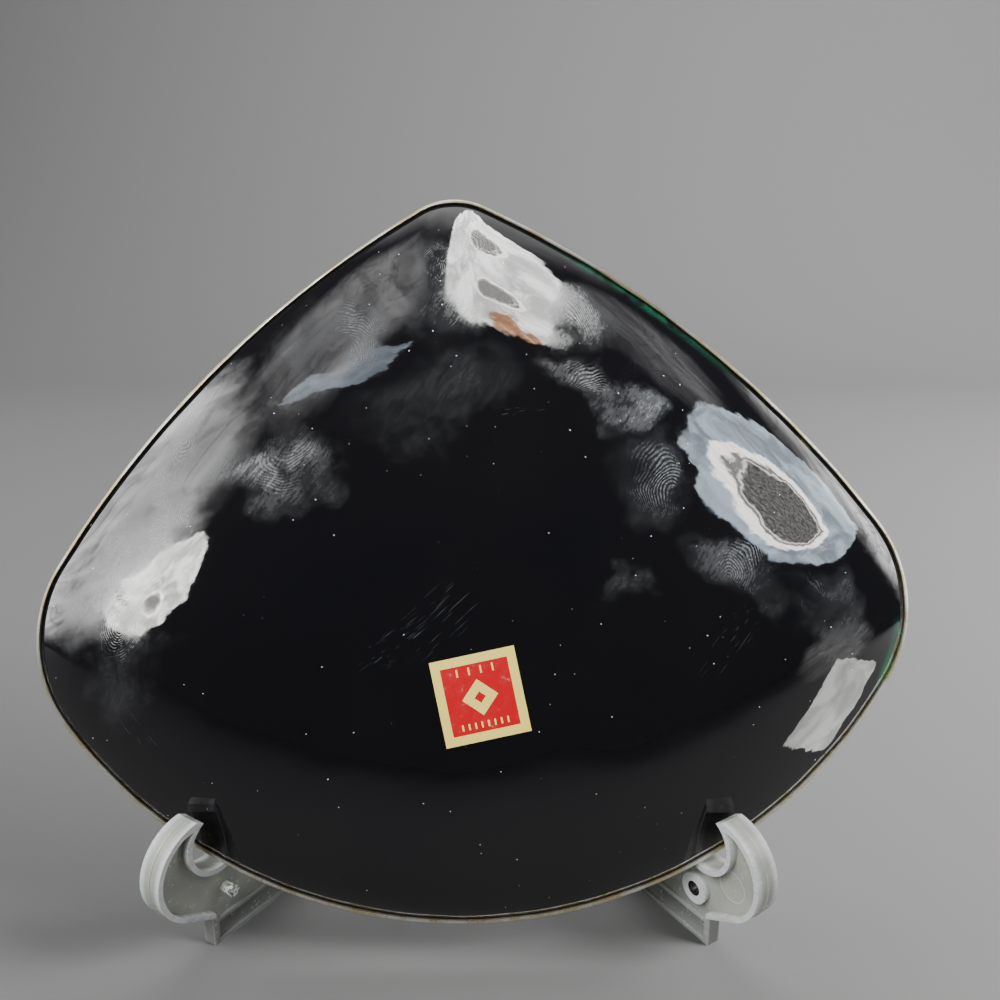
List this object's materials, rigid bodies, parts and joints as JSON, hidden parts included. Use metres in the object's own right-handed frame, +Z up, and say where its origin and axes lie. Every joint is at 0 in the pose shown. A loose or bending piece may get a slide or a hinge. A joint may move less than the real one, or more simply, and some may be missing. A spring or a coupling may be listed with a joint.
{
  "type": "cloisonne dish on a plate stand",
  "caption": "Rounded-triangle enamel dish with a glossy black convex back and metal rim, leaning in a two-arm moulded plastic plate stand.",
  "frame": {"origin": "middle of the bounding box's bottom face, on the surface that the stand's feet rest on", "axes": "+Z up, +X to the right seen from the dish's black back, +Y away from the stand's hooks towards its rear hinge"},
  "size_m": [0.1778, 0.0922, 0.1459],
  "materials": {
    "black_enamel": "mirror gloss black enamel on the back, deep green translucent enamel with silver wire in the hollow",
    "rim_metal": "polished silver",
    "label_foil": "printed foil",
    "smoky_plastic": "grey semi-clear moulded plastic with whitish flanges"
  },
  "bodies": {
    "root": {"dish": "black_enamel", "rim_band": "rim_metal", "back_label": "label_foil", "stand_arm_left": "smoky_plastic", "stand_arm_right": "smoky_plastic"}
  },
  "joints": []
}
